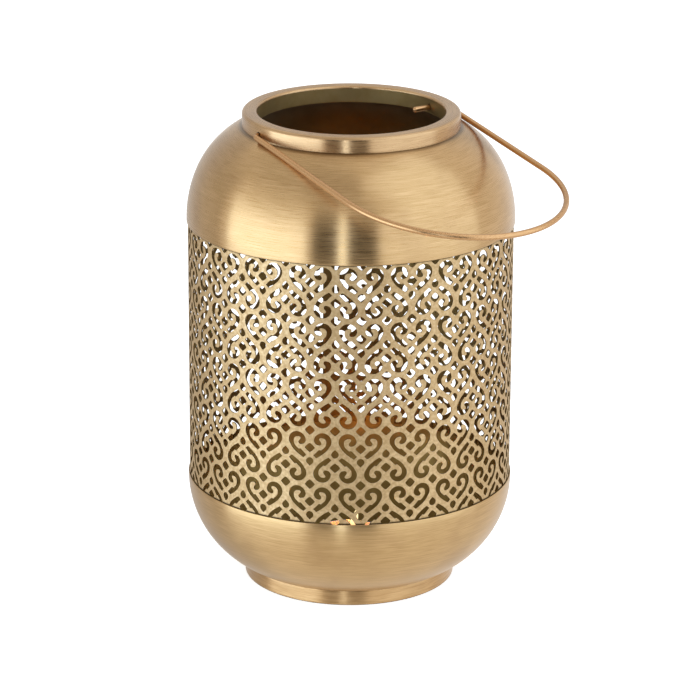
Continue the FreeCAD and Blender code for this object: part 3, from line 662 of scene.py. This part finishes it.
def make_seam_strip():
    """The lap behind the screen's seam: a plain upright strip bent to the screen's inner face."""
    seam = math.radians(PIERCING_START) + (PIERCING_STRIPS // 2 + 1) * STRIP / SCREEN_RADIUS
    outside = SCREEN_RADIUS - SHELL_WALL - 0.02
    half_angle = SEAM_HALF_LAP / SCREEN_RADIUS
    angle = seam + np.linspace(-half_angle, half_angle, 7)
    angle = np.concatenate([angle, angle[::-1]])
    radius = np.repeat([outside, outside - SEAM_WALL], 7)
    low, high = BOWL_RIM + 0.3, DOME_RIM - 0.3
    heights = np.array([low, low, high, high])[:, None]
    share = np.array([0, 1, 1, 0])[:, None]
    middle = np.array([outside * math.cos(seam), outside * math.sin(seam)])
    x = middle[0] + share * (radius * np.cos(angle) - middle[0])
    y = middle[1] + share * (radius * np.sin(angle) - middle[1])
    mesh = grid_mesh("seam", np.stack([x, y, heights + 0 * angle], 2), False, True)
    heal(mesh)
    piece("seam_strip", mesh, [SHADED_SCREEN_INSIDE], "lantern", "screen_brass")


# ---------------------------------------------------------------- bail


def make_bail():
    """Wire bail in one plane: hook, bend, straight arm and half ellipse x = w cos t, y = arm + b sin t,
    and the same back on the other side, tipped down about the pivot axis by the droop."""
    elbow = arc((BAIL_HALF_WIDTH - BAIL_CORNER, BAIL_CORNER), BAIL_CORNER, -90, 0, 8)
    t = np.linspace(0, math.pi, 97)
    bow = np.stack([BAIL_HALF_WIDTH * np.cos(t), BAIL_ARM + BAIL_BOW * np.sin(t)], 1)
    half = np.concatenate([line((BAIL_TIP, 0), elbow[0], step=1.0)[:-1], elbow])
    arm = line(elbow[-1], bow[0], step=4)[1:-1]
    other = np.concatenate([half, arm])[::-1] * (-1, 1)
    flat = np.concatenate([half, arm, bow, other])
    droop = math.radians(BAIL_DROOP)
    path = np.stack([
        flat[:, 0], -flat[:, 1] * math.cos(droop), PIVOT_HEIGHT - flat[:, 1] * math.sin(droop),
    ], 1)
    mesh = wire_mesh("bail", path, WIRE_RADIUS)
    piece("wire_bail", mesh, [WIRE_BRASS], "bail", "brass_wire", "bail_handle", crease=60)


# ---------------------------------------------------------------- tealight


POOL_DEPTH = 1.1
WICK_RADIUS, WICK_LEAN = 0.75, 1.4
FLAME_LEAN = 2.6
CANDLE_POWER, CANDLE_TINT = 0.032, "#FFA047"
DRAUGHT = np.array([0.83, -0.56])  # the way that the wick and its flame lean


def make_dish():
    """Candle dish: a shallow pan whose wall ends in a rolled lip."""
    bead = 0.5
    wall_outside = line((DISH_RADIUS - 1, DISH_FLOOR), (DISH_RADIUS - bead, DISH_FLOOR + 1.2), step=0.5)
    lip = arc((DISH_RADIUS - bead, DISH_LIP - bead), bead, -60, 200, 10)
    wall_inside = line((DISH_RADIUS - 2 * bead, DISH_FLOOR + 1.3), (DISH_RADIUS - 2, DISH_FLOOR + DISH_WALL))
    floor_in = line((DISH_RADIUS - 2, DISH_FLOOR + DISH_WALL), (0, DISH_FLOOR + DISH_WALL), step=4)[1:]
    floor_out = line((0, DISH_FLOOR), (DISH_RADIUS - 1, DISH_FLOOR), step=4)[:-1]
    section = np.concatenate([wall_outside, lip, wall_inside, floor_in, floor_out])
    piece("drip_dish", turned_mesh("dish", section), [DISH_BRASS], "lantern", "dish_brass", "candle_dish")


def make_cup():
    """Tealight cup: a drawn wall that leans in slightly towards its flat floor, and a rolled lip."""
    bead = 0.35
    foot = CUP_RADIUS - 1.0
    outside = line(
        (foot, CUP_FLOOR), (foot + 0.4, CUP_FLOOR + 0.6), (CUP_RADIUS - bead, CUP_LIP - 1), step=1.5,
    )
    lip = arc((CUP_RADIUS - bead, CUP_LIP - bead), bead, -40, 200, 8)
    inside = line(
        (CUP_RADIUS - bead - CUP_WALL, CUP_LIP - 1.2), (foot + 0.1, CUP_FLOOR + 0.8),
        (foot - 0.4, CUP_FLOOR + CUP_WALL), step=1.5,
    )
    floor_in = line((foot - 0.9, CUP_FLOOR + CUP_WALL), (0, CUP_FLOOR + CUP_WALL), step=3)
    floor_out = line((0, CUP_FLOOR), (foot - 0.5, CUP_FLOOR), step=3)
    section = np.concatenate([outside, lip, inside, floor_in, floor_out])
    piece("foil_cup", turned_mesh("cup", section), [ALUMINIUM], "tealight", "cup_aluminium", "tealight_cup")


def make_wax():
    """Wax: a plug with a shallow melted pool, z = top - depth * cos^2 of a quarter turn over the radius,
    and a small rim where it climbs the cup."""
    radius = WAX_RADIUS - 0.15
    share = np.linspace(1, 0, 16)
    pool = WAX_TOP - 0.15 - POOL_DEPTH * np.cos(share * math.pi / 2) ** 2
    top = np.stack([radius * share, pool], 1)
    side = line(
        (0, WAX_FLOOR), (radius - 0.8, WAX_FLOOR), (radius, WAX_FLOOR + 0.8), (radius, WAX_TOP), step=2,
    )
    section = np.concatenate([side, top])
    mesh = turned_mesh("wax", section, closed=False)
    piece("paraffin_wax", mesh, [WAX], "tealight", "candle_wax", "tealight_wax")


def make_wick():
    """Wick: a thin braid, bent over at its burnt tip by a quadratic lean."""
    up = np.linspace(0, 1, 24)
    lean = WICK_LEAN * np.clip((up - 0.55) / 0.45, 0, 1)[:, None] ** 2 * DRAUGHT
    path = np.column_stack([lean, WAX_FLOOR + 0.1 + (WICK_TOP - WAX_FLOOR - 0.1) * up])
    mesh = wire_mesh("wick", path, WICK_RADIUS, sides=14)
    piece("cotton_braid", mesh, [COTTON], "tealight", "cotton_wick", "wick", crease=60)


def make_sustainer():
    """Wick sustainer: a thin plate with a crimped neck."""
    neck, top = 1.4, PLATE_FLOOR + 3.2
    section = np.concatenate([
        [(0, PLATE_FLOOR), (PLATE_RADIUS - 0.1, PLATE_FLOOR)],
        arc((PLATE_RADIUS - 0.15, PLATE_FLOOR + 0.15), 0.15, -80, 90, 4),
        line((neck + 0.9, PLATE_FLOOR + 0.3), (neck + 0.25, PLATE_FLOOR + 0.55), (neck, PLATE_FLOOR + 1.1)),
        line((neck, top - 0.3), (neck - 0.25, top), (0, top)),
    ])
    mesh = turned_mesh("sustainer", section, closed=False)
    piece("wick_plate", mesh, [TINPLATE], "tealight", "tinned_steel", "wick_sustainer")


def make_flame():
    """Flame: a drop with radius w * sqrt(t) * (1 - t)^0.8 at the share t of its height, which leans by
    WICK_LEAN + FLAME_LEAN * t."""
    base, tip, widest = WICK_TOP - 2.5, WICK_TOP + 10, 4.6
    t = 0.5 - 0.5 * np.cos(np.linspace(0, math.pi, 28))
    section = np.stack([widest * np.sqrt(t) * (1 - t) ** 0.8, base + (tip - base) * t], 1)
    mesh = turned_mesh("flame", section, closed=False)
    places = np.empty(len(mesh.vertices) * 3)
    mesh.vertices.foreach_get("co", places)
    places = places.reshape(-1, 3)
    share = (places[:, 2] / MM - base) / (tip - base)
    places[:, :2] += (WICK_LEAN + FLAME_LEAN * share)[:, None] * MM * DRAUGHT
    mesh.vertices.foreach_set("co", places.ravel())
    made = piece("flame", mesh, [flame_glow(base, tip)], "tealight", "candle_wax")
    made.visible_shadow = False
    lamp = bpy.data.lights.new("candle_light", "POINT")
    lamp.color = colour(CANDLE_TINT)[:3]
    lamp.energy = CANDLE_POWER
    lamp.shadow_soft_size = 3 * MM
    lit = bpy.data.objects.new("candle_light", lamp)
    lit.location = (0, 0, (base + 6) * MM)
    bpy.context.scene.collection.objects.link(lit)
    lit.parent = frame["bodies"]["tealight"]


# ---------------------------------------------------------------- studio

VIEW_AZIMUTH, VIEW_ELEVATION, VIEW_ROLL = -33.75, 18.472, 0.293
VIEW_DISTANCE, VIEW_HEIGHT, VIEW_SIDE = 1926.6, 122.25, -0.11
LENS = 188.0
STUDIO_MIDDLE, CARD_DISTANCE, FLOOR_HALF = 130, 1500, 6000
FLOOR_DROP = 0.05  # the floor lies a hair below the foot
FLOOR_GLOW, WORLD_LIGHT = 0.7, 0.75


def direction(azimuth, elevation):
    """Unit vector from the lantern at that azimuth and elevation, in degrees."""
    a, e = math.radians(azimuth), math.radians(elevation)
    return Vector((math.sin(a) * math.cos(e), -math.cos(a) * math.cos(e), math.sin(e)))


def make_camera():
    """A long lens, level with the lantern's middle and looking slightly down."""
    back = direction(VIEW_AZIMUTH, VIEW_ELEVATION)
    right = direction(VIEW_AZIMUTH + 90, 0)
    up = back.cross(right)
    roll = math.radians(VIEW_ROLL)
    across = math.cos(roll) * right + math.sin(roll) * up
    upward = math.cos(roll) * up - math.sin(roll) * right
    target = Vector((0, 0, VIEW_HEIGHT)) + VIEW_SIDE * right
    data = bpy.data.cameras.new("camera")
    data.lens = LENS
    data.sensor_width = 36.0
    data.clip_end = 20.0
    camera = bpy.data.objects.new("camera", data)
    turn = Matrix((across, upward, back)).transposed().to_4x4()
    camera.matrix_world = Matrix.Translation((target + VIEW_DISTANCE * back) * MM) @ turn
    bpy.context.scene.collection.objects.link(camera)
    bpy.context.scene.camera = camera


def softbox(name, azimuth, elevation, distance, width, height, radiance, tint="#C4E0FF"):
    """A rectangular lamp aimed at the lantern's middle. Azimuth is counted from the camera's. Its power
    is radiance * pi * area, so that a mirror would show it at that radiance."""
    data = bpy.data.lights.new(name, "AREA")
    data.shape = "RECTANGLE"
    data.size, data.size_y = width, height
    data.energy = radiance * math.pi * width * height
    data.color = colour(tint)[:3]
    lamp = bpy.data.objects.new(name, data)
    away = direction(VIEW_AZIMUTH + azimuth, elevation)
    middle = Vector((0, 0, STUDIO_MIDDLE * MM))
    lamp.location = middle + distance * away
    lamp.rotation_euler = away.to_track_quat("Z", "Y").to_euler()
    lamp.visible_camera = False
    bpy.context.scene.collection.objects.link(lamp)


def dark_card(name, azimuths, elevations, level):
    """A dark studio card that only reflections show: a patch of a ball of 1.5 m radius round the
    lantern, between
    two azimuths counted from the camera's and two elevations."""
    a = np.radians(np.linspace(*azimuths, 9)) + math.radians(VIEW_AZIMUTH)
    e = np.radians(np.linspace(*elevations, 9))[:, None]
    ball = np.stack([np.sin(a) * np.cos(e), -np.cos(a) * np.cos(e), np.sin(e) + 0 * a], 2)
    mesh = grid_mesh(name, CARD_DISTANCE * ball + (0, 0, STUDIO_MIDDLE), False, False)
    look, tree, out = new_look("black_card_" + name)
    glow = node(tree, "ShaderNodeEmission", {"Color": (level, level, level, 1), "Strength": 1.0})
    tree.links.new(glow.outputs[0], out.inputs[0])
    mesh.materials.append(look)
    card = bpy.data.objects.new(name, mesh)
    bpy.context.scene.collection.objects.link(card)
    for seen in ("visible_camera", "visible_diffuse", "visible_shadow", "visible_transmission"):
        setattr(card, seen, False)


def seen_or_mirrored(tree):
    """1 for a ray from the camera, off a mirror or through glass, and 0 for any other."""
    path = node(tree, "ShaderNodeLightPath").outputs
    seen = path["Is Camera Ray"]
    for kind in ("Is Glossy Ray", "Is Transmission Ray"):
        seen = node(tree, "ShaderNodeMath", {0: seen, 1: path[kind]}, operation="MAXIMUM").outputs[0]
    return seen


def make_floor():
    """A white sweep: matt white for the light, and white as seen, with the lantern's shadow on it."""
    side = np.linspace(-FLOOR_HALF, FLOOR_HALF, 5)
    x, y = np.meshgrid(side, side)
    mesh = grid_mesh("floor", np.stack([x, y, 0 * x - FLOOR_DROP], 2), False, False)
    mesh.flip_normals()
    look, tree, out = new_look("matt_white_sweep")
    matt = node(tree, "ShaderNodeBsdfDiffuse", {"Color": (0.8, 0.8, 0.8, 1)})
    inputs = {0: seen_or_mirrored(tree), 1: FLOOR_GLOW}
    level = node(tree, "ShaderNodeMath", inputs, operation="MULTIPLY").outputs[0]
    glow = node(tree, "ShaderNodeEmission", {"Strength": level})
    both = node(tree, "ShaderNodeAddShader", {0: matt.outputs[0], 1: glow.outputs[0]})
    tree.links.new(both.outputs[0], out.inputs[0])
    mesh.materials.append(look)
    floor = bpy.data.objects.new("floor", mesh)
    floor.visible_glossy = False
    bpy.context.scene.collection.objects.link(floor)


def make_world():
    """White where it is seen or mirrored, and a little less as light."""
    world = bpy.data.worlds.new("studio")
    bpy.context.scene.world = world
    world.use_nodes = True
    tree = world.node_tree
    tree.nodes.clear()
    inputs = {"Value": seen_or_mirrored(tree), "To Min": WORLD_LIGHT, "To Max": 1.0}
    level = node(tree, "ShaderNodeMapRange", inputs).outputs[0]
    sky = node(tree, "ShaderNodeBackground", {"Color": (1, 1, 1, 1), "Strength": level})
    out = node(tree, "ShaderNodeOutputWorld")
    tree.links.new(sky.outputs[0], out.inputs[0])


def make_studio():
    """Two large softboxes beside the camera, a narrow one near it, and dark cards between them."""
    make_camera()
    make_world()
    make_floor()
    softbox("left_softbox", -61, -3, 1.5, 1.8, 1.2, 2.6)
    softbox("right_softbox", 58, 4, 1.5, 2.4, 1.4, 1.0)
    softbox("high_softbox", 70, 52, 1.5, 1.4, 1.3, 1.0)
    softbox("strip_light", -5.5, 0, 1.45, 0.1, 1.5, 5.0)
    dark_card("left_card", (-26, -9), (-21, 27), 0.04)
    dark_card("right_card", (-2, 18), (-21, 27), 0.04)
    dark_card("left_ceiling", (-130, 12), (40, 85), 0.72)
    dark_card("left_wall", (-165, -100), (-60, 38), 0.7)
    dark_card("back_wall", (150, 195), (2, 38), 0.7)


make_studio()
make_dome()
make_bowl()
make_collar()
make_foot()
make_screen()
make_seam_strip()
make_bail()
make_dish()
make_cup()
make_wax()
make_wick()
make_sustainer()
make_flame()

bpy.context.scene.view_settings.view_transform = "Standard"
